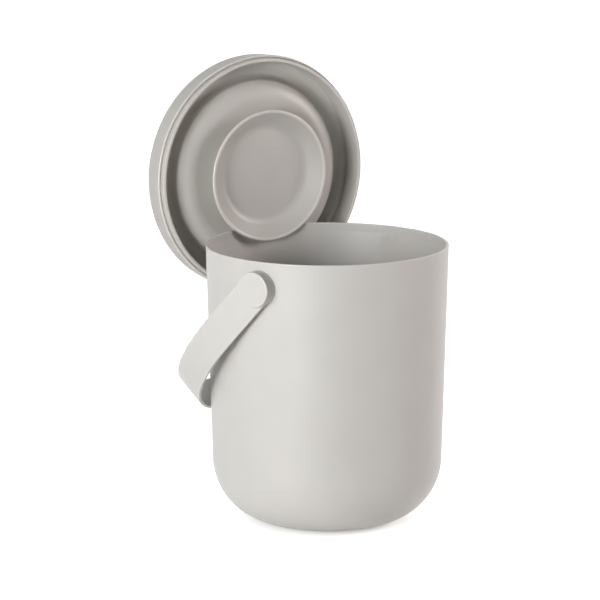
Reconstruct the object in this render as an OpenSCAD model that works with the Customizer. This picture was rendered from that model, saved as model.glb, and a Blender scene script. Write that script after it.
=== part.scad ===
// Compost caddy: a tapered one-piece bucket with a strap bail on two round pivots,
// and a loose lid that hangs upright on the rim by the flared dish on its underside.
// The origin is on the caddy's axis at the surface it stands on, +Z is up, the bail
// turns about X, and the bail rests on the +Y side. Lengths are in millimetres.

/* [Caddy] */
// Height of the caddy, from the base to the top of its rim
body_h = 202.5; // [170:0.5:230]
// Outer diameter at the rim
rim_d = 175; // [160:1:190]
// Outer diameter that the tapered wall would reach at the base
base_d = 163.6; // [150:0.2:172]
// Radius of the big bend between the wall and the base
base_bend = 46.5; // [36:0.5:52]
// Thickness of the wall
wall = 3; // [2.4:0.1:3.6]
// Thickness of the base
floor_t = 4; // [3:0.5:6]
// Width of the rim's top face
rim_land = 1.8; // [1.4:0.1:2.2]
// Depth of the stepped seat inside the rim
seat_depth = 6; // [4.5:0.5:9]

/* [Bail] */
// Distance of the pivots below the rim
pivot_drop = 18.8; // [16:0.1:26]
// Width of the strap
strap_w = 25.4; // [20:0.2:28]
// Thickness of the strap
strap_t = 2.5; // [2:0.1:3.2]
// Straight length of each arm, from its pivot to the bow
arm_l = 47; // [42:1:60]
// Height of each pivot boss above the wall
boss_h = 3.2; // [2.6:0.1:4.5]
// Thickness of each pivot button's cap
cap_t = 3.3; // [2.5:0.1:4.5]
// Diameter of each pivot button's stem
stem_d = 8; // [6:0.5:10]
// Depth that each stem goes into its boss
stem_depth = 4.4; // [3.6:0.1:4.6]

/* [Lid] */
// Height of the lid's outer band
band_h = 18.5; // [17:0.1:22]
// Amount that the band draws in towards its top
band_draft = 0.9; // [0:0.1:1.4]
// Radius of the band's top edge
band_round = 3.5; // [2:0.1:4]
// Width of the band's lower edge, which sits on the rim
band_edge = 1.1; // [0.9:0.1:1.3]
// Thickness of the lid's walls
lid_wall = 2.2; // [1.8:0.1:2.4]
// Height of the flat underside above the band's lower edge
face_z = 1.25; // [1:0.05:3]
// Radius of that flat face
face_r = 54.3; // [52:0.1:56]
// Radius of the bend between the face and the sloping ring round it
face_bend = 8; // [4:0.5:9]
// Slope of that ring
ring_slope = 35; // [25:1:45]
// Radius at which the ring ends
ring_r = 65.5; // [63:0.1:66.5]
// Radius of the shoulder between the ring and the side of the recess
shoulder = 7; // [4:0.1:8]
// Draft of the side of the recess
recess_draft = 10; // [2:1:14]
// Radius of the fillet between that side and the channel inside the band
channel_fillet = 4.5; // [2:0.1:5]
// Distance that the seal reaches below the band
plug_depth = 3.6; // [3:0.1:4.2]
// Height of the seal ring
seal_h = 17; // [12:0.1:17.5]
// Thickness of the seal ring
seal_t = 2.5; // [2.2:0.1:3]
// Height of the bead at the end of the seal
bead_h = 1.5; // [1.3:0.1:2]

/* [Hanging dish] */
// Outer radius of the dish's lip
lip_r = 48.6; // [46:0.1:50.5]
// Outer radius of the neck that rests on the rim
neck_r = 38.2; // [36:0.1:39.4]
// Distance that the dish's lip reaches in behind the rim
dish_reach = 7.9; // [7.4:0.1:9.4]
// Depth of the dish
dish_depth = 7.3; // [6:0.1:8]
// Radius of the flat middle of the dish
bowl_floor_r = 33; // [28:0.5:34]
// Radius of the bend round that flat middle
bowl_bend = 10; // [6:0.5:12]
// Wall thickness of the dish
dish_t = 2; // [1.6:0.1:2.4]
// Radius of the boss that the knob's stud screws into
socket_boss_r = 9; // [7:0.5:12]

/* [Knob] */
// Radius of the knob's top
knob_r = 21; // [16:0.5:28]
// Radius of the knob's waist
waist_r = 13; // [9:0.5:15]
// Height of the knob above the recess
knob_h = 15; // [12:0.5:20]
// Diameter of the knob's stud
stud_d = 8; // [6:0.5:10]
// Thickness of the dish under the stud's socket
socket_floor = 1.5; // [1.2:0.1:2.2]

/* [Hung lid and clearances] */
// Direction in which the lid hangs, turned from +Y towards +X
hang_angle = 24; // [0:1:60]
// Gap at a part that rests on another one
rest_gap = 0.3; // [0.2:0.05:0.5]
// Side clearance of the strap between its boss and its button
side_gap = 0.2; // [0.15:0.05:0.4]
// Radial clearance of the strap on its stems, and of the stud in the lid
bore_gap = 0.15; // [0.1:0.05:0.3]
// Radial clearance of the seal in the rim's seat
seal_gap = 0.2; // [0.1:0.05:0.4]

/* [Hidden] */
$fn = 96;
arc_step = 6;
plastic = [0.80, 0.79, 0.77];
seal_colour = [0.84, 0.81, 0.78];

// Small rounded edges
rim_round = 0.5;
seat_slope = 4.5;
strap_round = 0.6;
cap_round = 0.9;
stem_lead = 0.8;
lip_round = 0.9;
knob_edge = 1.2;
knob_foot = 2;
waist_round = 6;
socket_relief = 0.5;
boss_inset = 0.5;
recess_edge = 3;
channel_round = 1.5;
groove_h = 1.2;
bead_inset = 0.3;
bead_groove = 0.4;

// Caddy
rim_r = rim_d / 2;
base_r = base_d / 2;
lean = atan((rim_r - base_r) / body_h);
seat_r = rim_r - rim_land;

// Bail
pivot_z = body_h - pivot_drop;
boss_face = wall_r(pivot_z) + boss_h;
strap_in = boss_face + side_gap;
strap_out = strap_in + strap_t;
cap_in = strap_out + side_gap;
stem_r = stem_d / 2;
bow_reach = arm_l + strap_in;

// The bail rests where the lower inner edge of its bow meets the wall. With the bow's
// reach, the strap's half width and the wall's lean known, that angle below level is
// the solution of a * cos(angle) + b * sin(angle) = c.
rest_a = bow_reach + tan(lean) * strap_w / 2;
rest_b = tan(lean) * bow_reach - strap_w / 2;
rest_c = wall_r(pivot_z) + rest_gap;
rest_angle = atan2(rest_b, rest_a) + acos(rest_c / norm([rest_a, rest_b]));

// Lid, with z = 0 at the band's lower edge, which sits on the rim when it is closed
seal_out = seat_r - seal_gap;
seal_in = seal_out - seal_t;
seal_top = seal_h - plug_depth;
channel_z = band_h - lid_wall;
recess_z = face_z + lid_wall;
stud_r = stud_d / 2;
stud_hole_r = stud_r + bore_gap;

// Centres of the two bends under the lid, and the end of the ring between them
face_centre = [face_r, face_z + face_bend];
ring_start = face_centre + face_bend * [sin(ring_slope), -cos(ring_slope)];
ring_end = ring_start + (ring_r - ring_start.x) * [1, tan(ring_slope)];
shoulder_centre = ring_end + shoulder * [-sin(ring_slope), cos(ring_slope)];

// Place of the lid on the rim. Its neck hooks over the rim, and the end of its seal
// leans on the wall where the seal is lowest.
hang_z = body_h + neck_r + rest_gap;
seal_low_z = hang_z - (seal_in + seal_out) / 2;
hang_out = wall_r(seal_low_z) + rest_gap + plug_depth;

// Dish. Its flare leaves the neck just inside the rim's seat.
flare_z = seat_r - hang_out - rest_gap;
lip_z = flare_z - dish_reach;
dish_floor_z = lip_z + dish_depth;
dish_back_z = dish_floor_z + dish_t;
bowl_back_r = neck_r - dish_t;
socket_z = dish_floor_z + socket_floor;
stud_end_z = socket_z + socket_relief;

// Outer radius of the caddy's wall at a height
function wall_r(z) = base_r + (rim_r - base_r) * z / body_h;

// Points of an arc about [x, y], from angle a to angle b
function arc(x, y, r, a, b) =
    let (steps = max(2, ceil(abs(b - a) / arc_step)))
    [for (i = [0:steps]) [x + r * cos(a + (b - a) * i / steps), y + r * sin(a + (b - a) * i / steps)]];

// The bend between a flat floor at height z and a wall that is inset from the outer one
function bend(z, inset, r) =
    arc(wall_r(z + r) - (inset + r) / cos(lean), z + r, r, -90, -lean);

// Direction, seen from circle a, of the point where a line touches it on its way to circle b.
// reach is the sum of the two radii, and it is negative for the line on the other side.
function touch(a, b, reach) =
    let (to = b - a)
    atan2(to.y, to.x) + sign(reach) * acos(abs(reach) / norm(to));

// The same list from its other end
function reversed(points) = [for (i = [len(points) - 1:-1:0]) points[i]];

module on_pivots() {
    for (side = [-1, 1]) {
        translate([0, 0, pivot_z]) rotate([0, side * 90, 0]) children();
    }
}

module hung() {
    rotate([0, 0, -hang_angle])
        translate([0, hang_out, hang_z])
            rotate([-90, 0, 0]) children();
}

// ---- Caddy ----

module caddy_shell() {
    inner_top = body_h - seat_depth - seat_slope;
    outline = concat(
        [[0, 0]],
        bend(0, 0, base_bend),
        arc(rim_r - rim_round, body_h - rim_round, rim_round, -lean, 90),
        arc(seat_r + rim_round, body_h - rim_round, rim_round, 90, 180),
        [[seat_r, body_h - seat_depth], [wall_r(inner_top) - wall / cos(lean), inner_top]],
        reversed(bend(floor_t, wall, base_bend - floor_t)),
        [[0, floor_t]]
    );
    rotate_extrude() polygon(outline);
}

module caddy_body() {
    boss_root = wall_r(pivot_z) - wall / 2 - boss_inset;
    color(plastic)
    difference() {
        union() {
            caddy_shell();
            on_pivots() translate([0, 0, boss_root]) cylinder(d = strap_w, h = boss_face - boss_root);
        }
        on_pivots() translate([0, 0, boss_face - stem_depth]) cylinder(r = stem_r, h = stem_depth + 1);
    }
}

// ---- Bail ----

// Cross-section of the strap: its thickness along x, its width along y
module strap_section() {
    w = strap_w / 2 - strap_round;
    polygon(concat(
        arc(strap_in + strap_round, -w, strap_round, -180, -90),
        arc(strap_out - strap_round, -w, strap_round, -90, 0),
        arc(strap_out - strap_round, w, strap_round, 0, 90),
        arc(strap_in + strap_round, w, strap_round, 90, 180)
    ));
}

// Half of that section, which turns about the pivot to make the strap's round end
module strap_end() {
    w = strap_w / 2 - strap_round;
    rotate([0, 90, 0])
    rotate([0, 0, 90])
    rotate_extrude()
    polygon(concat(
        [[0, strap_in]],
        arc(w, strap_in + strap_round, strap_round, -90, 0),
        arc(w, strap_out - strap_round, strap_round, 0, 90),
        [[0, strap_out]]
    ));
}

module strap_arm() {
    rotate([-90, 0, 0]) linear_extrude(height = arm_l) strap_section();
    strap_end();
}

// The strap as it is bent: two straight arms and a half-round bow, in the plane z = 0
module strap_blank() {
    strap_arm();
    mirror([1, 0, 0]) strap_arm();
    translate([0, arm_l, 0]) rotate_extrude(angle = 180) strap_section();
}

module handle_strap() {
    color(plastic)
    difference() {
        translate([0, 0, pivot_z]) rotate([-rest_angle, 0, 0]) strap_blank();
        on_pivots() translate([0, 0, strap_in - 1]) cylinder(r = stem_r + bore_gap, h = strap_t + 2);
    }
}

// A pivot button stands on its boss: a stem through the strap and a round cap over it
module pivot_button() {
    cap_r = strap_w / 2;
    outline = concat(
        [[0, boss_face - stem_depth], [stem_r - stem_lead, boss_face - stem_depth]],
        [[stem_r, boss_face - stem_depth + stem_lead], [stem_r, cap_in], [cap_r, cap_in]],
        arc(cap_r - cap_round, cap_in + cap_t - cap_round, cap_round, 0, 90),
        [[0, cap_in + cap_t]]
    );
    color(plastic)
    rotate_extrude() polygon(outline);
}

module pivot_button_left() {
    translate([0, 0, pivot_z]) rotate([0, -90, 0]) pivot_button();
}

module pivot_button_right() {
    translate([0, 0, pivot_z]) rotate([0, 90, 0]) pivot_button();
}

// ---- Lid ----

// Radius of the side of the recess at height z, for the surface that is offset from the
// underside by depth
function side_r(z, depth) =
    shoulder_centre.x + (shoulder - depth) / cos(recess_draft)
    + (z - shoulder_centre.y) * tan(recess_draft);

// Both bends of the lid's middle, from the face to the side of the recess
function middle(depth) = concat(
    arc(face_centre.x, face_centre.y, face_bend - depth, -90, ring_slope - 90),
    arc(shoulder_centre.x, shoulder_centre.y, shoulder - depth, ring_slope - 90, -recess_draft)
);

module lid_shell() {
    fillet_z = channel_z - channel_fillet;
    fillet_r = side_r(fillet_z, 0) + channel_fillet / cos(recess_draft);
    edge_z = band_h - recess_edge;
    edge_r = side_r(edge_z, lid_wall) + recess_edge / cos(recess_draft);
    lip = band_edge / 2;
    lip_centre = rim_r - lip;
    outline = concat(
        [[stud_hole_r, face_z]],
        middle(0),
        arc(fillet_r, fillet_z, channel_fillet, 180 - recess_draft, 90),
        arc(seal_in - channel_round, channel_z - channel_round, channel_round, 90, 0),
        [[seal_in, seal_top], [seal_out, seal_top], [seal_out, groove_h]],
        [[rim_r - band_edge, groove_h]],
        arc(lip_centre, lip, lip, 180, 360),
        arc(rim_r - band_draft - band_round, band_h - band_round, band_round, 0, 90),
        arc(edge_r, edge_z, recess_edge, 90, 180 - recess_draft),
        reversed(middle(lid_wall)),
        [[stud_hole_r, recess_z]]
    );
    color(plastic)
    hung() rotate_extrude() polygon(outline);
}

// A ring that lines the inside of the band, with a bead at the end that enters the seat
module lid_seal() {
    bead_out = seal_out - bead_inset;
    r = (bead_out - seal_in) / 2;
    groove_z = bead_h - plug_depth;
    outline = concat(
        [[seal_in, seal_top]],
        arc(seal_in + r, r - plug_depth, r, 180, 360),
        [[bead_out - bead_groove, groove_z]],
        [[seal_out, groove_z + bead_groove], [seal_out, seal_top]]
    );
    color(seal_colour)
    hung() rotate_extrude() polygon(outline);
}

// The dish: a neck that rests on the rim, and a flare that hooks over it. The flare runs
// straight from the neck to the lip, so that it clears the curved wall. The bowl's side is
// the line that touches both the bowl's bend and the rounded lip.
module hanging_dish() {
    lip = [lip_r - lip_round, lip_z + lip_round];
    bend_centre = [bowl_floor_r, dish_floor_z - bowl_bend];
    side = touch(bend_centre, lip, bowl_bend + lip_round);
    flare = touch(lip, [neck_r, flare_z], -lip_round);
    outline = concat(
        [[0, dish_floor_z]],
        arc(bend_centre.x, bend_centre.y, bowl_bend, 90, side),
        arc(lip.x, lip.y, lip_round, side - 180, flare),
        [[neck_r, flare_z], [neck_r, face_z], [bowl_back_r, face_z], [bowl_back_r, dish_back_z]],
        [[socket_boss_r, dish_back_z], [socket_boss_r, face_z], [stud_r, face_z]],
        [[stud_r, socket_z], [0, socket_z]]
    );
    color(plastic)
    hung() rotate_extrude() polygon(outline);
}

// ---- Knob ----

module grip_knob() {
    top = recess_z + knob_h;
    outline = concat(
        [[0, stud_end_z], [stud_r, stud_end_z], [stud_r, recess_z]],
        [[waist_r + knob_foot, recess_z]],
        arc(waist_r + waist_round, recess_z + waist_round, waist_round, 220, 120),
        arc(knob_r - knob_edge, top - knob_edge, knob_edge, -50, 90),
        [[0, top]]
    );
    color(plastic)
    hung() rotate_extrude() polygon(outline);
}

caddy_body();
handle_strap();
pivot_button_left();
pivot_button_right();
lid_shell();
lid_seal();
hanging_dish();
grip_knob();
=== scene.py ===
# %% [markdown]
# # A compost caddy in moulded plastic
# The caddy is a tapered bucket with a strap bail and a loose lid that hangs upright on the
# rim. All but the seal is injection-moulded plastic, in warm light greys so close to each
# other that the eye reads the form almost wholly from soft shading: smooth curves, true
# roundings on the edges and a plain light matter more here than colour.
#
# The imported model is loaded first. It fixes where each piece is and what it rides on.

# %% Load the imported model
import math

import bmesh
import bpy
from mathutils import Matrix, Vector


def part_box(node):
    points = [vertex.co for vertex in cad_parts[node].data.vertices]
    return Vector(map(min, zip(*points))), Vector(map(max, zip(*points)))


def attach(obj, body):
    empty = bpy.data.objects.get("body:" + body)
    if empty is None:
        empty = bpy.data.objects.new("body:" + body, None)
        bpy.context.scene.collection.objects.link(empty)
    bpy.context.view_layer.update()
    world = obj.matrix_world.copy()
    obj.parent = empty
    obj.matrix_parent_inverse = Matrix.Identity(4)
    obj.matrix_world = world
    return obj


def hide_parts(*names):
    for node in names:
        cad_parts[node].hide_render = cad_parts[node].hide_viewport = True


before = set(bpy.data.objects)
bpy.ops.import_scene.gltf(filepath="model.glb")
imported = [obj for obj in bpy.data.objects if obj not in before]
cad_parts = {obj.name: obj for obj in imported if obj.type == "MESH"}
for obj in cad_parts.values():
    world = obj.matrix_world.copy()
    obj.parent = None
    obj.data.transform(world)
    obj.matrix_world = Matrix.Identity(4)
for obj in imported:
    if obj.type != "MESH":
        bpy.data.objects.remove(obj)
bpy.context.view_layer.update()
MM = 0.001
print("nodes:", sorted(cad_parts))

# %% [markdown]
# ## The camera
# A product picture of a caddy is taken from far off with a long lens, so that its sides
# stay nearly parallel. The camera stands three metres from the caddy's axis, a little above
# it, and looks slightly down. It aims left of the axis, where the lid and the strap reach
# out. Aiming it at a point is simpler than working out its turns by hand.

# %% The camera
camera_distance = 3.0
camera_height = 0.748
camera_turn = math.radians(33.28)
aim_left = 0.0197
aim_height = 0.161
lens_mm = 254.3
sensor_mm = 36
far_limit = 50

to_camera = Vector((-math.cos(camera_turn), -math.sin(camera_turn), 0))
camera_left = Vector((to_camera.y, -to_camera.x, 0))
aim = camera_left * aim_left + Vector((0, 0, aim_height))

camera = bpy.data.objects.new("camera", bpy.data.cameras.new("camera"))
bpy.context.scene.collection.objects.link(camera)
camera.location = to_camera * camera_distance + Vector((0, 0, camera_height))
camera.rotation_euler = (aim - camera.location).to_track_quat("-Z", "Y").to_euler()
camera.data.sensor_width = sensor_mm
camera.data.lens = lens_mm
camera.data.clip_end = far_limit
bpy.context.scene.camera = camera
print("camera at", tuple(round(x, 3) for x in camera.location))

# %% [markdown]
# ## Colour and nodes
# Colours are written as sRGB hex values, as a paint chart gives them, and Blender's shaders
# take linear ones. One function does that change. Another adds a shader node, sets its
# options and fills its inputs, where an input is either a plain value or another node's
# output.

# %% Helpers for materials
def linear(hex_code):
    """The linear RGBA colour of an sRGB hex code such as '#d6d4cf'."""
    channels = [int(hex_code[i:i + 2], 16) / 255 for i in (1, 3, 5)]
    straight = [c / 12.92 if c <= 0.04045 else ((c + 0.055) / 1.055) ** 2.4
                for c in channels]
    return (*straight, 1)


def add(tree, kind, inputs=None, **options):
    """Adds a node, sets its options, then fills or links its inputs."""
    made = tree.nodes.new(kind)
    for name, value in options.items():
        setattr(made, name, value)
    for name, value in (inputs or {}).items():
        if isinstance(value, bpy.types.NodeSocket):
            tree.links.new(value, made.inputs[name])
        else:
            made.inputs[name].default_value = value
    return made


def new_material(name):
    """An empty material with its output node."""
    material = bpy.data.materials.new(name)
    material.use_nodes = True
    material.node_tree.nodes.clear()
    return material, add(material.node_tree, "ShaderNodeOutputMaterial")


print("white is", linear("#ffffff"))

# %% [markdown]
# ## Moulded polypropylene
# The caddy, the strap and the lid are polypropylene, moulded in a steel tool whose face was
# given a fine matt texture. That gives the eye an even colour with a faint cloudiness from
# the melt's flow, and a soft wide sheen instead of a highlight. The small roundings of the
# edges get a painted highlight: their colour is made lighter, standing in for the thin
# light lines they catch, and their sheen a little smoother. Pictures wrapped round the
# pieces could carry all this, but noise in the pieces' own space needs no unwrapping and
# has no seams.
#
# The texture's real grain is about 0.1 mm, too fine to show, so it is drawn at 0.5 mm. The
# mesh code gives each point a value that the material reads: above 0 it paints the
# highlight on an edge, and below 0 it stands for the coarser texture of the lid's band,
# which looks darker.

# %% Moulded polypropylene
# The value on an edge with a painted highlight, on a plain face and on a coarse texture
HIGHLIT_EDGE = 1.0
PLAIN = 0.0
COARSE = -1.0

# Noise from Blender's node mostly stays within these two
NOISE_LOW = 0.3
NOISE_HIGH = 0.7


def moulded_polypropylene(name, colour, roughness, edge_highlight=1.05):
    """A matt moulded plastic: cloudy colour, fine texture and edges with a painted
    highlight.
    """
    cloud_size = 28 * MM
    cloudiness = 0.015
    coarse_shade = 0.88
    patch_size = 9 * MM
    patchiness = 0.03
    edge_smoother = 0.1
    grain_size = 0.5 * MM
    grain_height = 0.03 * MM
    grain_strength = 0.35
    refraction = 1.49
    material, output = new_material(name)
    tree = material.node_tree
    place = add(tree, "ShaderNodeTexCoord").outputs["Object"]
    highlight_and_coarse = add(tree, "ShaderNodeAttribute", attribute_name="highlight_and_coarse").outputs["Fac"]

    # The melt's faint cloudiness, 1.5 percent either way
    cloud = add(tree, "ShaderNodeTexNoise", {
        "Vector": place, "Scale": 1 / cloud_size, "Detail": 2, "Roughness": 0.5})
    tone = add(tree, "ShaderNodeMapRange", {
        "Value": cloud.outputs["Fac"], "From Min": NOISE_LOW, "From Max": NOISE_HIGH,
        "To Min": 1 - cloudiness, "To Max": 1 + cloudiness})
    clouded = add(tree, "ShaderNodeVectorMath", {
        0: linear(colour)[:3], "Scale": tone.outputs["Result"]}, operation="SCALE")

    # Edges get a painted highlight: their colour is lighter
    lighter = add(tree, "ShaderNodeVectorMath", {
        0: clouded.outputs["Vector"], "Scale": edge_highlight}, operation="SCALE")
    edge_colour = add(tree, "ShaderNodeMix", {
        "Factor": highlight_and_coarse, "A": clouded.outputs["Vector"], "B": lighter.outputs["Vector"]},
        data_type="VECTOR")

    # A coarse texture is up to 12 percent darker
    coarse = add(tree, "ShaderNodeMapRange", {
        "Value": highlight_and_coarse, "From Min": COARSE, "From Max": PLAIN,
        "To Min": coarse_shade, "To Max": 1})
    coarse_colour = add(tree, "ShaderNodeVectorMath", {
        0: edge_colour.outputs["Result"], "Scale": coarse.outputs["Result"]},
        operation="SCALE")

    # Sheen that differs a little from patch to patch, smoother on the edges with the
    # painted highlight and duller where it is coarse
    patch = add(tree, "ShaderNodeTexNoise", {
        "Vector": place, "Scale": 1 / patch_size, "Detail": 3, "Roughness": 0.6})
    matt = add(tree, "ShaderNodeMapRange", {
        "Value": patch.outputs["Fac"], "From Min": NOISE_LOW, "From Max": NOISE_HIGH,
        "To Min": roughness - patchiness, "To Max": roughness + patchiness})
    sheen = add(tree, "ShaderNodeMath", {
        0: highlight_and_coarse, 1: -edge_smoother, 2: matt.outputs["Result"]},
        operation="MULTIPLY_ADD")

    # The tool's fine matt texture
    grain = add(tree, "ShaderNodeTexNoise", {
        "Vector": place, "Scale": 1 / grain_size, "Detail": 2, "Roughness": 0.6})
    bump = add(tree, "ShaderNodeBump", {
        "Height": grain.outputs["Fac"], "Strength": grain_strength,
        "Distance": grain_height})

    plastic = add(tree, "ShaderNodeBsdfPrincipled", {
        "Base Color": coarse_colour.outputs["Vector"],
        "Roughness": sheen.outputs["Value"],
        "Normal": bump.outputs["Normal"],
        "IOR": refraction})
    tree.links.new(plastic.outputs["BSDF"], output.inputs["Surface"])
    return material


caddy_plastic = moulded_polypropylene("caddy_polypropylene", "#cbc9c5", roughness=0.44)
lid_plastic = moulded_polypropylene("lid_polypropylene", "#c1beb9", roughness=0.41,
                                    edge_highlight=1.26)
strap_plastic = moulded_polypropylene("strap_polypropylene", "#cdcbc6", roughness=0.44)
print("plastics:", caddy_plastic.name, lid_plastic.name, strap_plastic.name)

# %% [markdown]
# ## Silicone
# The seal is moulded silicone rubber in the lid's own grey. Next to the plastic it has a
# smoother sheen without grain, and a trace of dust dulls it in small flecks. The roundings
# of its end get a painted highlight: they are made paler, which draws a thin light line
# round the lid's opening. It could share the plastic's function, but without grain and with
# a weaker reflection it is simpler as one of its own.

# %% Moulded silicone
def moulded_silicone(name, colour):
    """A satin silicone rubber with faint flecks of dust."""
    fleck_size = 1.2 * MM
    dusty_shade, clean_shade = 0.97, 1.02
    smoothest, dullest = 0.37, 0.45
    end_highlight = 1.2
    refraction = 1.41
    material, output = new_material(name)
    tree = material.node_tree
    place = add(tree, "ShaderNodeTexCoord").outputs["Object"]
    highlight_and_coarse = add(tree, "ShaderNodeAttribute", attribute_name="highlight_and_coarse").outputs["Fac"]

    # Flecks change both the colour and the sheen a little
    fleck = add(tree, "ShaderNodeTexNoise", {
        "Vector": place, "Scale": 1 / fleck_size, "Detail": 4, "Roughness": 0.7})
    tone = add(tree, "ShaderNodeMapRange", {
        "Value": fleck.outputs["Fac"], "From Min": NOISE_LOW, "From Max": NOISE_HIGH,
        "To Min": dusty_shade, "To Max": clean_shade})
    dull = add(tree, "ShaderNodeMapRange", {
        "Value": fleck.outputs["Fac"], "From Min": NOISE_LOW, "From Max": NOISE_HIGH,
        "To Min": smoothest, "To Max": dullest})
    dusty = add(tree, "ShaderNodeVectorMath", {
        0: linear(colour)[:3], "Scale": tone.outputs["Result"]}, operation="SCALE")

    # The end's roundings get a painted highlight: their colour is paler
    paler = add(tree, "ShaderNodeVectorMath", {
        0: dusty.outputs["Vector"], "Scale": end_highlight}, operation="SCALE")
    highlit_end = add(tree, "ShaderNodeMix", {
        "Factor": highlight_and_coarse, "A": dusty.outputs["Vector"], "B": paler.outputs["Vector"]},
        data_type="VECTOR")

    rubber = add(tree, "ShaderNodeBsdfPrincipled", {
        "Base Color": highlit_end.outputs["Result"],
        "Roughness": dull.outputs["Result"],
        "IOR": refraction})
    tree.links.new(rubber.outputs["BSDF"], output.inputs["Surface"])
    return material


seal_silicone = moulded_silicone("lid_silicone", "#c1beb9")
print("rubber:", seal_silicone.name)

# %% [markdown]
# ## Turned outlines
# Every piece but the strap is round, so each is drawn as half a cross-section and turned
# about its axis. The Screw modifier could turn it, but code that makes the points itself
# can also mark the edges that get a painted highlight. Round stretches are true arcs, split
# finely enough that no facet shows.
#
# Smooth shading blends the direction of neighbouring faces, which would tint a long flat
# beside a small rounding, so each long straight gets two extra points close to its ends.
# They hold the flat flat.
#
# A point is a radius, a height and the value that the materials read for a painted edge
# highlight or a coarse texture.

# %% Helpers for outlines
ARC_ERROR = 0.004
LONGEST_STEP = 10
FEWEST_STEPS = 4
HOLD = 0.4
LONG_STRAIGHT = 4 * HOLD


def point(x, y):
    """A corner of an outline, in millimetres."""
    return (x, y, PLAIN)


def arc(x, y, radius, start, end, edge=1.5):
    """Points of an arc about (x, y). It gets the painted edge highlight if its radius is
    under edge.
    """
    step = min(LONGEST_STEP, math.degrees(2 * math.acos(1 - ARC_ERROR / radius)))
    count = max(FEWEST_STEPS, math.ceil(abs(end - start) / step))
    angles = [math.radians(start + (end - start) * i / count) for i in range(count + 1)]
    highlight_and_coarse = HIGHLIT_EDGE if radius < edge else PLAIN
    return [(x + radius * math.cos(a), y + radius * math.sin(a), highlight_and_coarse) for a in angles]


def held(outline):
    """The outline with two extra points near the ends of each long straight. They never get
    the painted edge highlight, but they keep a coarse texture."""
    result = []
    for a, b in zip(outline, outline[1:]):
        result.append(a)
        length = math.hypot(b[0] - a[0], b[1] - a[1])
        if length > LONG_STRAIGHT:
            for share in (HOLD / length, 1 - HOLD / length):
                result.append((a[0] + (b[0] - a[0]) * share, a[1] + (b[1] - a[1]) * share,
                               min(a[2], b[2], PLAIN)))
    result.append(outline[-1])
    return result


def touch(a, b, reach):
    """The direction, seen from circle a, of where a line touches it on its way to circle b.
    reach is the sum of their radii, and it is negative for the line on the other side."""
    across, up = b[0] - a[0], b[1] - a[1]
    opening = math.degrees(math.acos(abs(reach) / math.hypot(across, up)))
    return math.degrees(math.atan2(up, across)) + math.copysign(opening, reach)


print("a 90 degree arc of 0.6 mm has", len(arc(0, 0, 0.6, 0, 90)), "points")

# %% [markdown]
# ## From points to a piece
# A moulding has one closed skin. Here a piece is welded from grids: rows of points with
# quads between them. A turned piece is one grid that closes on itself, and the strap is
# several that share their edges. The grids could be given to Blender as lists of points and
# faces, but bmesh can weld the shared points and count open edges as well.

# %% Welding grids
WELD_REACH = 1e-3 * MM


def open_edges(shape):
    """How many edges don't lie between exactly two faces. A closed skin has none."""
    return sum(not edge.is_manifold for edge in shape.edges)


def weld(name, grids, place=Matrix.Identity(4)):
    """A piece made of grids of (position in mm, highlight or coarse value), welded where
    they meet.
    """
    shape = bmesh.new()
    highlight_and_coarse = shape.verts.layers.float.new("highlight_and_coarse")
    for rows in grids:
        made = []
        for row in rows:
            corners = [shape.verts.new(place @ Vector(p) * MM) for p, _ in row]
            for corner, (_, value) in zip(corners, row):
                corner[highlight_and_coarse] = value
            made.append(corners)
        for above, below in zip(made, made[1:]):
            for i in range(len(above) - 1):
                shape.faces.new((above[i], above[i + 1], below[i + 1], below[i]))
    bmesh.ops.remove_doubles(shape, verts=shape.verts, dist=WELD_REACH)
    bmesh.ops.dissolve_degenerate(shape, edges=shape.edges, dist=WELD_REACH)
    bmesh.ops.recalc_face_normals(shape, faces=shape.faces)
    mesh = bpy.data.meshes.new(name)
    shape.to_mesh(mesh)
    print(name, "has", len(mesh.polygons), "faces and", open_edges(shape), "open edges")
    shape.free()
    piece = bpy.data.objects.new(name, mesh)
    bpy.context.scene.collection.objects.link(piece)
    return piece


print("points up to", round(WELD_REACH / MM, 4), "mm apart are welded")

# %% Turning an outline
TURN_STEPS = 240


def turned(name, outline, place=Matrix.Identity(4), steps=TURN_STEPS):
    """A piece turned about its z axis from half a cross-section."""
    outline = held(outline)
    rows = []
    for i in range(steps + 1):
        angle = math.tau * (i % steps) / steps
        rows.append([((r * math.cos(angle), r * math.sin(angle), z), value)
                     for r, z, value in outline])
    return weld(name, [rows], place)


print("a turned piece has a row of faces every", 360 / TURN_STEPS, "degrees")

# %% [markdown]
# ## Handing a piece over
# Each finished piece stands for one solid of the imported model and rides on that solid's
# body, so that it moves with its joint. Each could be shaded and handed over in lines of
# its own, but one function keeps them alike, and it can measure how far a piece is from its
# solid's box. Corners sharper than 30 degrees stay crisp, and all else is shaded smooth.

# %% Shading a piece and handing it over
CRISP_ANGLE = math.radians(30)


def finish_piece(piece, body, node, material):
    """Shades a piece, gives it its material and hands it to its CAD body."""
    for polygon in piece.data.polygons:
        polygon.use_smooth = True
    piece.data.set_sharp_from_angle(angle=CRISP_ANGLE)
    piece.data.materials.clear()
    piece.data.materials.append(material)
    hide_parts(node)
    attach(piece, body)
    low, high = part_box(node)
    off = 0
    for k in range(3):
        reach = [corner.co[k] for corner in piece.data.vertices]
        off = max(off, abs(min(reach) - low[k]), abs(max(reach) - high[k]))
    print(piece.name, "is", round(off / MM, 3), "mm off its solid's box")


print("corners over", round(math.degrees(CRISP_ANGLE)), "degrees stay crisp")

# %% [markdown]
# ## The caddy
# The bucket is one moulding with an even wall. It tapers towards the base, where a big
# bend carries the wall into a flat foot. Inside the rim the wall is thinner, which makes
# room for the lid's seal, and a long slope takes it back to full thickness. A cylinder
# could be pushed and bevelled into this shape, but turning the outline keeps every size a
# named number.

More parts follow.
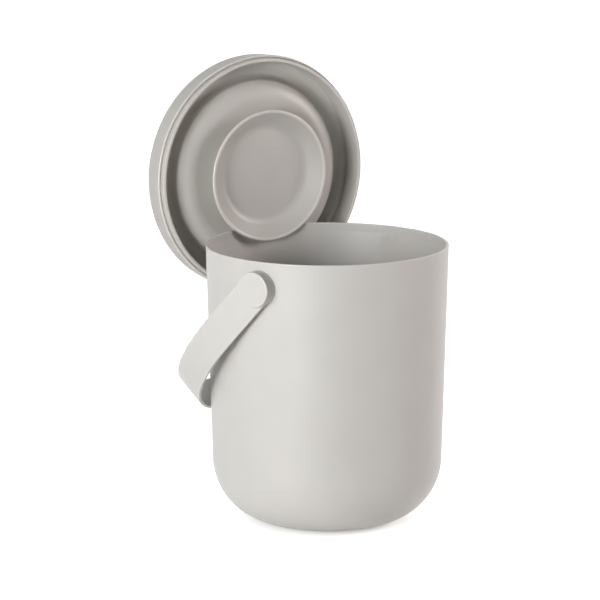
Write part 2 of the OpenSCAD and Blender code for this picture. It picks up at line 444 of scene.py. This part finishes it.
# %% The caddy
body_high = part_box("caddy_body")[1].z / MM
rim_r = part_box("caddy_body")[1].y / MM
base_r = 81.8
base_bend = 46.5
wall = 3
floor_thick = 4
rim_land = 1.8
seat_depth = 6
seat_slope = 24
rim_round = 0.5
seat_r = rim_r - rim_land
lean = math.atan((rim_r - base_r) / body_high)
lean_deg = math.degrees(lean)


def wall_r(z):
    """The wall's outer radius at a height."""
    return base_r + (rim_r - base_r) * z / body_high


def bend(z, inset, radius):
    """The bend between a flat floor at height z and a wall inset from the outer one."""
    x = wall_r(z + radius) - (inset + radius) / math.cos(lean)
    return arc(x, z + radius, radius, -90, -lean_deg)


inner_top = body_high - seat_depth - seat_slope
caddy_outline = [
    point(0, 0),
    *bend(0, 0, base_bend),
    *arc(rim_r - rim_round, body_high - rim_round, rim_round, -lean_deg, 90),
    *arc(seat_r + rim_round, body_high - rim_round, rim_round, 90, 180),
    point(seat_r, body_high - seat_depth),
    point(wall_r(inner_top) - wall / math.cos(lean), inner_top),
    *reversed(bend(floor_thick, wall, base_bend - floor_thick)),
    point(0, floor_thick),
]
caddy = turned("caddy_bucket", caddy_outline)

# %% [markdown]
# ## The pivot bosses
# A boss is a short round stub outside the wall, moulded in one with it, with a blind hole
# for a button's stem. It could be grown out of the wall's own faces, but those would have
# to be laid out round it. A Boolean joins a turned stub and leaves the rest of the wall as
# it is, and another one cuts the hole. The price is that a Boolean can leave gaps where
# points of both shapes almost meet: the left hole's side isn't closed. The strap and the
# button's stem hide it, and the cell prints how many edges are open.

# %% The pivot bosses
pivot_z = 183.7
strap_w = 25.4
boss_h = 3.2
stem_r = 4
stem_depth = 4.4
boss_face = wall_r(pivot_z) + boss_h
boss_sunk = 2
boss_root = wall_r(pivot_z) - boss_sunk
boss_round = 0.3
cut_past = 1
boss_steps = 96
left_pivot = Matrix.Translation((0, 0, pivot_z)) @ Matrix.Rotation(-math.pi / 2, 4, "Y")
right_pivot = Matrix.Translation((0, 0, pivot_z)) @ Matrix.Rotation(math.pi / 2, 4, "Y")


def boolean(piece, tool, operation):
    """Joins a tool to a piece, or cuts it away, and deletes the tool."""
    change = piece.modifiers.new(operation, "BOOLEAN")
    change.object = tool
    change.operation = operation
    change.solver = "EXACT"
    bpy.context.view_layer.objects.active = piece
    bpy.ops.object.modifier_apply(modifier=change.name)
    bpy.data.objects.remove(tool)


boss_outline = [
    point(0, boss_root),
    point(strap_w / 2, boss_root),
    *arc(strap_w / 2 - boss_round, boss_face - boss_round, boss_round, 0, 90),
    point(0, boss_face),
]
hole_outline = [
    point(0, boss_face - stem_depth),
    point(stem_r, boss_face - stem_depth),
    point(stem_r, boss_face + cut_past),
    point(0, boss_face + cut_past),
]
for side in (left_pivot, right_pivot):
    boolean(caddy, turned("boss", boss_outline, side, boss_steps), "UNION")
    boolean(caddy, turned("hole", hole_outline, side, boss_steps), "DIFFERENCE")
drilled = bmesh.new()
drilled.from_mesh(caddy.data)
print("with its bosses and holes the bucket has", open_edges(drilled), "open edges")
drilled.free()
finish_piece(caddy, "caddy", "caddy_body", caddy_plastic)

# %% [markdown]
# ## The strap
# The bail is a flat plastic strap, bent to two straight arms and a half-round bow. It is
# drawn flat first: round ends with a hole, straight edges, all with a small rounding. Each
# end is a fan of quads from the hole to the edge, which becomes square where the straight
# part begins, so that both share their points. Then every point is bent into place. A curve
# with a profile could make the bow, but not the round ends with their holes.

# %% The strap's sizes and its rest
strap_t = 2.5
side_gap = 0.2
bore_gap = 0.15
rest_gap = 0.3
arm_l = 47
strap_round = 0.6
strap_in = boss_face + side_gap
strap_out = strap_in + strap_t
hole_r = stem_r + bore_gap
flat_half = strap_w / 2 - strap_round
strap_length = 2 * arm_l + math.pi * strap_in

# The strap rests where its bow's lower inner edge meets the wall
rest_a = arm_l + strap_in + math.tan(lean) * strap_w / 2
rest_b = math.tan(lean) * (arm_l + strap_in) - strap_w / 2
rest_c = wall_r(pivot_z) + rest_gap
rest_angle = math.atan2(rest_b, rest_a) + math.acos(rest_c / math.hypot(rest_a, rest_b))
strap_place = Matrix.Translation((0, 0, pivot_z)) @ Matrix.Rotation(-rest_angle, 4, "X")
print("the strap rests", round(math.degrees(rest_angle), 1), "degrees below level")

# %% [markdown]
# ## Laying out and bending the strap
# Along the strap the points stand at fixed stations, closer on the bow than on the arms.
# The grids are made in the flat, where they are easy to think about, and one function says
# where each point goes once the strap is bent.

# %% Bending the strap
def bent(along, across, out):
    """Where a point of the flat strap goes when the strap is bent."""
    reach = strap_in + out
    if along < arm_l:
        return (-reach, along, across)
    if along > strap_length - arm_l:
        return (reach, strap_length - along, across)
    angle = math.pi - (along - arm_l) / strap_in
    return (reach * math.cos(angle), arm_l + reach * math.sin(angle), across)


print("the middle of the bow is", round(bent(strap_length / 2, 0, 0)[1], 1), "mm out")

# %% The strap
def strap_grids():
    """The strap's flat faces, edges and holes as grids of bent points."""
    fan_step = 5
    corner = 45
    arm_steps = 6
    bow_steps = 72
    barely = 1e-9
    fan = [math.radians(a) for a in range(0, 360, fan_step)]
    closed_fan = fan + fan[:1]
    rings = [hole_r, hole_r + HOLD, flat_half - HOLD, flat_half]
    lanes = [flat_half * math.tan(math.radians(a))
             for a in range(corner, -corner - 1, -fan_step)]
    stations = [flat_half + (arm_l - flat_half) * i / arm_steps for i in range(arm_steps)]
    stations += [arm_l + math.pi * strap_in * i / bow_steps for i in range(bow_steps + 1)]
    stations += [strap_length - s for s in reversed(stations[:arm_steps])]

    def end_spot(angle, ring, far):
        """A spot of the fan at an end. Angle 0 looks along the strap."""
        square = abs(math.cos(angle)) if abs(math.tan(angle)) <= 1 else abs(math.sin(angle))
        stretch = 1 / square if math.cos(angle) > barely else 1
        share = (ring - hole_r) / (flat_half - hole_r)
        radius = ring + (flat_half * stretch - flat_half) * share
        along = radius * math.cos(angle)
        return (strap_length - along if far else along, radius * math.sin(angle))

    grids = []
    for out in (0, strap_t):
        for far in (False, True):
            grids.append([[(bent(*end_spot(a, ring, far), out), PLAIN) for a in closed_fan]
                          for ring in rings])
        grids.append([[(bent(s, lane, out), PLAIN) for lane in lanes] for s in stations])
    for far in (False, True):
        grids.append([[(bent(*end_spot(a, hole_r, far), out), PLAIN) for a in closed_fan]
                      for out in (0, strap_t)])

    def end_edge(far):
        """The spots round an end, each with the way out of it."""
        way = -1 if far else 1
        edge = []
        for a in fan:
            if math.radians(corner) <= a <= math.radians(360 - corner):
                if math.cos(a) < barely:
                    outwards = (math.cos(a) * way, math.sin(a))
                else:
                    outwards = (0, math.copysign(1, math.sin(a)))
                edge.append((end_spot(a, flat_half, far), outwards))
        return edge

    # The edge all round the flat strap, and the half turn that rounds it
    top = [((s, flat_half), (0, 1)) for s in reversed(stations[1:-1])]
    low = [((s, -flat_half), (0, -1)) for s in stations[1:-1]]
    loop = end_edge(False) + low + end_edge(True)[::-1] + top
    loop.append(loop[0])
    turn = (arc(0, strap_round, strap_round, -90, 0)
            + arc(0, strap_t - strap_round, strap_round, 0, 90))
    edge_rows = []
    for push, out, value in turn:
        edge_rows.append([(bent(x + way_x * push, y + way_y * push, out), value)
                         for (x, y), (way_x, way_y) in loop])
    grids.append(edge_rows)
    return grids


strap = weld("strap_bail", strap_grids(), strap_place)
finish_piece(strap, "bail", "handle_strap", strap_plastic)

# %% [markdown]
# ## The pivot buttons
# Each end of the strap is held by a button: a stem through the strap and a flat round cap
# as wide as the strap. The cap's edge has a small rounding, which catches the light as a
# thin ring. Both buttons are the same outline, turned in two places.

# %% The pivot buttons
cap_t = 3.3
cap_round = 0.9
cap_in = strap_out + side_gap
stem_taper = 0.8
button_outline = [
    point(0, boss_face - stem_depth),
    point(stem_r - stem_taper, boss_face - stem_depth),
    point(stem_r, boss_face - stem_depth + stem_taper),
    point(stem_r, cap_in),
    point(strap_w / 2, cap_in),
    *arc(strap_w / 2 - cap_round, cap_in + cap_t - cap_round, cap_round, 0, 90),
    point(0, cap_in + cap_t),
]
for side, place in (("left", left_pivot), ("right", right_pivot)):
    button = turned("button_" + side, button_outline, place, steps=128)
    finish_piece(button, "caddy", "pivot_button_" + side, strap_plastic)

# %% [markdown]
# ## Where the lid hangs
# The lid hangs upright, so its own frame is laid over first: height 0 is the band's lower
# edge, and its axis points away from the caddy. The pieces of the lid could be made lying
# flat and turned afterwards, but a piece's place has to be in its mesh, so the frame is
# applied to the points as they are made.

# %% Where the lid hangs
hang_angle = math.radians(24)
seal_gap = 0.2
seal_t = 2.5
plug_depth = 3.6
neck_r = 38.2
seal_out = seat_r - seal_gap
seal_in = seal_out - seal_t

# The seal's end leans on the wall where the seal is lowest, which sets how far out it hangs
hang_z = body_high + neck_r + rest_gap
hang_out = wall_r(hang_z - (seal_in + seal_out) / 2) + rest_gap + plug_depth
hung = (Matrix.Rotation(-hang_angle, 4, "Z")
        @ Matrix.Translation((0, hang_out, hang_z))
        @ Matrix.Rotation(-math.pi / 2, 4, "X"))
print("the lid's band stands", round(hang_out, 1), "mm from the caddy's axis")

# %% [markdown]
# ## The lid's middle
# Seen from below, the lid's flat middle rises out of a ring-shaped channel: the channel's
# wall turns at a small shoulder into a wide bend, which ends in the flat. The wall is
# equally thick all over, so the same two bends, drawn deeper in it, make the recess round
# the knob on the other side. Thickening a single sheet would do that too, but then its
# edges couldn't be shaped.

# %% The lid's middle
lid_wall = 2.2
face_z = 1.25
face_r = 54.3
face_bend = 18
ring_slope = math.radians(44)
ring_r = 67.4
shoulder = 2.6
recess_draft = 10

# The centres of the two bends, and the ends of the sloping ring between them
slope_sin, slope_cos = math.sin(ring_slope), math.cos(ring_slope)
slope_deg = math.degrees(ring_slope)
face_centre = (face_r, face_z + face_bend)
ring_start = (face_r + face_bend * slope_sin, face_z + face_bend * (1 - slope_cos))
ring_end = (ring_r, ring_start[1] + (ring_r - ring_start[0]) * math.tan(ring_slope))
shoulder_centre = (ring_r - shoulder * slope_sin, ring_end[1] + shoulder * slope_cos)


def side_r(z, depth):
    """Radius of the recess's side at height z, on the surface this deep in the wall."""
    draft = math.radians(recess_draft)
    return (shoulder_centre[0] + (shoulder - depth) / math.cos(draft)
            + (z - shoulder_centre[1]) * math.tan(draft))


def middle(depth):
    """Both bends, from the face to the recess's side, on the surface this deep."""
    return [*arc(*face_centre, face_bend - depth, -90, slope_deg - 90),
            *arc(*shoulder_centre, shoulder - depth, slope_deg - 90, -recess_draft, edge=0)]


print("the shoulder is", round(ring_end[1] - face_z, 1), "mm above the lid's middle")

# %% [markdown]
# ## The lid's shell
# The rest of the shell is the channel, the groove that holds the seal, the rounded lower
# edge and the band with its coarser texture. The channel's outer side sweeps down to the
# seal in a quarter of an ellipse. It is all one outline, so that it turns into one closed
# skin, as one moulding is.

# %% The lid's shell
band_h = 18.5
band_draft = 0.9
band_round = 3.5
band_edge = 1.8
channel_fillet = 4.5
channel_sweep = 7
recess_edge = 3
groove_h = 0.6
seal_h = 17
seal_top = seal_h - plug_depth
channel_z = band_h - lid_wall
recess_z = face_z + lid_wall
stud_r = 4
stud_hole_r = stud_r + bore_gap
fillet_z = channel_z - channel_fillet
fillet_r = side_r(fillet_z, 0) + channel_fillet / math.cos(math.radians(recess_draft))
edge_z = band_h - recess_edge
edge_r = side_r(edge_z, lid_wall) + recess_edge / math.cos(math.radians(recess_draft))
lip_half = band_edge / 2
coarse_starts = (0.2, 0.6)

# A quarter of an ellipse from the channel's floor to the seal, and the band's coarse side
channel_rise = [point(seal_in + (x - 1) * channel_sweep,
                      seal_top + y * (channel_z - seal_top))
                for x, y, _ in arc(0, 0, 1, 90, 0)]
band_corner = arc(rim_r - band_draft - band_round, band_h - band_round, band_round, 0, 90)
band_top = [(r, z, COARSE) for r, z, _ in band_corner]
band_low = [(rim_r, lip_half + gap, COARSE) for gap in coarse_starts]
shell_outline = [
    point(stud_hole_r, face_z),
    *middle(0),
    *arc(fillet_r, fillet_z, channel_fillet, 180 - recess_draft, 90),
    *channel_rise,
    point(seal_out, seal_top),
    point(seal_out, groove_h),
    point(rim_r - band_edge, groove_h),
    *arc(rim_r - lip_half, lip_half, lip_half, 180, 360),
    *band_low,
    *band_top,
    *arc(edge_r, edge_z, recess_edge, 90, 180 - recess_draft),
    *reversed(middle(lid_wall)),
    point(stud_hole_r, recess_z),
    point(stud_hole_r, face_z),
]
shell = turned("lid_moulding", shell_outline, hung)
finish_piece(shell, "lid", "lid_shell", lid_plastic)

# %% [markdown]
# ## The lid's seal
# The seal is a soft ring that stands in the lid's groove and plugs into the caddy's rim. A
# notch round its outside, just behind the end, lets the end give. It could be part of the
# shell's outline, but as a ring of its own it gets its own material, and the fine line
# between the two comes by itself.

# %% The lid's seal
bead_h = 1.5
bead_inset = 0.3
bead_groove = 0.4
bead_out = seal_out - bead_inset
end_round = 0.5
groove_z = bead_h - plug_depth
seal_outline = [
    point(seal_in, seal_top),
    *arc(seal_in + end_round, end_round - plug_depth, end_round, 180, 270),
    *arc(bead_out - end_round, end_round - plug_depth, end_round, 270, 360),
    point(bead_out - bead_groove, groove_z),
    point(seal_out, groove_z + bead_groove),
    point(seal_out, seal_top),
    point(seal_in, seal_top),
]
seal = turned("lid_seal_ring", seal_outline, hung)
finish_piece(seal, "lid", "lid_seal", seal_silicone)

# %% [markdown]
# ## The hanging dish
# The dish under the lid is what lets it hang: its neck rests on the rim and its flare
# hooks over it. Its bowl is flat in the middle, and its side is the straight line that
# touches both the bowl's bend and the rolled lip. Another straight runs from the lip's
# outer rounding down the flare to the neck. The points where these straights touch could be
# set by eye, but worked out they leave no kink in the reflections.

# %% The hanging dish
lip_r = 48.6
lip_round = 0.9
dish_reach = 7.9
dish_depth = 8.7
dish_t = 2
bowl_floor_r = 31.8
bowl_bend = 10
lip_roll = 2.4
socket_r = 9
socket_floor = 1.5
socket_relief = 0.5
flare_z = seat_r - hang_out - rest_gap
lip_z = flare_z - dish_reach
dish_floor_z = lip_z + dish_depth
dish_back_z = dish_floor_z + dish_t
socket_z = dish_floor_z + socket_floor
stud_end_z = socket_z + socket_relief

lip = (lip_r - lip_round, lip_z + lip_round)
bowl_centre = (bowl_floor_r, dish_floor_z - bowl_bend)
roll = (lip[0], lip_z + lip_roll)
side_touch = touch(bowl_centre, roll, bowl_bend + lip_roll)
flare_touch = touch(lip, (neck_r, flare_z), -lip_round)
dish_outline = [
    point(0, dish_floor_z),
    *arc(*bowl_centre, bowl_bend, 90, side_touch),
    # The whole rolled lip is marked for the painted edge highlight
    *arc(*roll, lip_roll, side_touch - 180, -90, edge=math.inf),
    *arc(*lip, lip_round, -90, flare_touch),
    point(neck_r, flare_z),
    point(neck_r, face_z),
    point(neck_r - dish_t, face_z),
    point(neck_r - dish_t, dish_back_z),
    point(socket_r, dish_back_z),
    point(socket_r, face_z),
    point(stud_r, face_z),
    point(stud_r, socket_z),
    point(0, socket_z),
]
dish = turned("hook_dish", dish_outline, hung)
finish_piece(dish, "lid", "hanging_dish", lid_plastic)

# %% [markdown]
# ## The knob
# The knob sits in the recess on the lid's top. It has a waist for the fingers and a flat
# top that ends level with the band, so that nothing sticks out when things are stacked. Its
# stud goes through the lid into the dish. It is turned like the other round pieces.

# %% The knob
knob_r = 21
knob_h = 15
waist_r = 13
waist_foot = 2
waist_round = 6
waist_turn = (220, 120)
knob_edge = 1.2
knob_under = -50
knob_top = recess_z + knob_h
knob_outline = [
    point(0, stud_end_z),
    point(stud_r, stud_end_z),
    point(stud_r, recess_z),
    point(waist_r + waist_foot, recess_z),
    *arc(waist_r + waist_round, recess_z + waist_round, waist_round, *waist_turn),
    *arc(knob_r - knob_edge, knob_top - knob_edge, knob_edge, knob_under, 90),
    point(0, knob_top),
]
knob = turned("lid_knob", knob_outline, hung, steps=160)
finish_piece(knob, "lid", "grip_knob", lid_plastic)

# %% [markdown]
# ## The floor
# The caddy stands on a seamless white sweep. A real one is lit until it burns out to white,
# which would flood the object too. Here the floor is plain white card that only the lamps
# light, and to the camera and in reflections it glows besides, which takes it to white. The
# glow is weaker close to the caddy, which paints a soft shadow round its foot, on top of
# the shadow that the lamps cast.

# %% The floor
near_glow = 0.35
far_glow = 1.1
glow_starts = 45 * MM
glow_full = 90 * MM
floor_half = 8.0


def seen_by_camera(tree):
    """1 for rays from the camera and in reflections or glass, and 0 for light itself."""
    rays = add(tree, "ShaderNodeLightPath").outputs
    seen = add(tree, "ShaderNodeMath", {
        0: rays["Is Camera Ray"], 1: rays["Is Glossy Ray"]}, operation="MAXIMUM")
    return add(tree, "ShaderNodeMath", {
        0: seen.outputs["Value"], 1: rays["Is Transmission Ray"]},
        operation="MAXIMUM").outputs["Value"]


card, card_output = new_material("white_card")
card_tree = card.node_tree
card_face = add(card_tree, "ShaderNodeBsdfDiffuse", {"Color": linear("#f4f4f2")})
card_place = add(card_tree, "ShaderNodeTexCoord").outputs["Object"]
card_way = add(card_tree, "ShaderNodeVectorMath", {0: card_place}, operation="LENGTH")
# Painted shadow: the glow fades towards the caddy's foot
card_fade = add(card_tree, "ShaderNodeMapRange", {
    "Value": card_way.outputs["Value"], "From Min": glow_starts, "From Max": glow_full,
    "To Min": near_glow, "To Max": far_glow})
card_glow = add(card_tree, "ShaderNodeEmission", {"Strength": card_fade.outputs["Result"]})
card_black = add(card_tree, "ShaderNodeEmission", {"Strength": 0.0})
card_extra = add(card_tree, "ShaderNodeMixShader", {
    "Fac": seen_by_camera(card_tree),
    1: card_black.outputs["Emission"], 2: card_glow.outputs["Emission"]})
card_sum = add(card_tree, "ShaderNodeAddShader", {
    0: card_face.outputs["BSDF"], 1: card_extra.outputs["Shader"]})
card_tree.links.new(card_sum.outputs["Shader"], card_output.inputs["Surface"])

floor_mesh = bpy.data.meshes.new("floor")
floor_mesh.from_pydata(
    [(x * floor_half, y * floor_half, 0) for x, y in ((-1, -1), (1, -1), (1, 1), (-1, 1))],
    [], [(0, 1, 2, 3)])
floor_mesh.materials.append(card)
floor = bpy.data.objects.new("floor", floor_mesh)
bpy.context.scene.collection.objects.link(floor)
print("the floor glows from", near_glow, "at the caddy's foot to", far_glow, "around it")

# %% [markdown]
# ## The background
# Above the floor the world itself is the background. To the camera and in reflections it
# is white, and it lights nothing, so that the lamps alone shape the caddy. A backdrop would
# do as well, but it could cast and catch shadows.

# %% The background
sky_strength = 1.5
world = bpy.data.worlds.new("studio")
bpy.context.scene.world = world
world.use_nodes = True
world.node_tree.nodes.clear()
dark_sky = add(world.node_tree, "ShaderNodeBackground", {"Strength": 0.0})
white_sky = add(world.node_tree, "ShaderNodeBackground", {
    "Color": linear("#ffffff"), "Strength": sky_strength})
sky = add(world.node_tree, "ShaderNodeMixShader", {
    "Fac": seen_by_camera(world.node_tree),
    1: dark_sky.outputs["Background"], 2: white_sky.outputs["Background"]})
sky_output = add(world.node_tree, "ShaderNodeOutputWorld")
world.node_tree.links.new(sky.outputs["Shader"], sky_output.inputs["Surface"])
print("the background is", world.name, "at strength", sky_strength)

# %% [markdown]
# ## Lamps
# Five soft boxes stand round the caddy. The key is on the left, only a little higher than
# the caddy, and the side lamp next to it widens it, so the bucket darkens slowly towards
# its right side. The rim lamp on the right lightens that side's edge again and models the
# lid's dish and ring. The top lamp gives the rims and the floor their light, and a weak
# lamp at the back keeps the inside and the far side from going black. Point lamps would be
# quicker to set, but their shadows have hard edges.
#
# A lamp's power follows from the level wanted: a white card that faces a lamp of P watts at
# d metres looks white when P is about ten times d squared.

# %% Lamps
bpy.context.scene.view_settings.view_transform = "Standard"
lamp_aim = Vector((0, 0, 0.14))


def soft_box(name, turn, rise, distance, size, level, colour="#ffffff"):
    """A square lamp. turn is in degrees from the camera to the left, rise above level."""
    turn, rise = math.radians(turn), math.radians(rise)
    across = to_camera * math.cos(turn) + camera_left * math.sin(turn)
    way = across * math.cos(rise) + Vector((0, 0, math.sin(rise)))
    lamp = bpy.data.lights.new(name, "AREA")
    lamp.shape = "SQUARE"
    lamp.size = size
    lamp.color = linear(colour)[:3]
    lamp.energy = level * math.pi ** 2 * distance ** 2
    holder = bpy.data.objects.new(name, lamp)
    bpy.context.scene.collection.objects.link(holder)
    holder.location = lamp_aim + way * distance
    holder.rotation_euler = (-way).to_track_quat("-Z", "Y").to_euler()
    print(name, "gives", round(lamp.energy, 1), "W")


soft_box("key", turn=32, rise=8, distance=2.2, size=0.8, level=0.70)
soft_box("side", turn=46, rise=20, distance=2.2, size=0.8, level=0.15)
soft_box("top", turn=90, rise=65, distance=2.2, size=1.6, level=0.15)
soft_box("rim", turn=-95, rise=20, distance=2.2, size=0.8, level=0.51, colour="#fff5f4")
soft_box("back", turn=180, rise=30, distance=2.2, size=1.6, level=0.04)
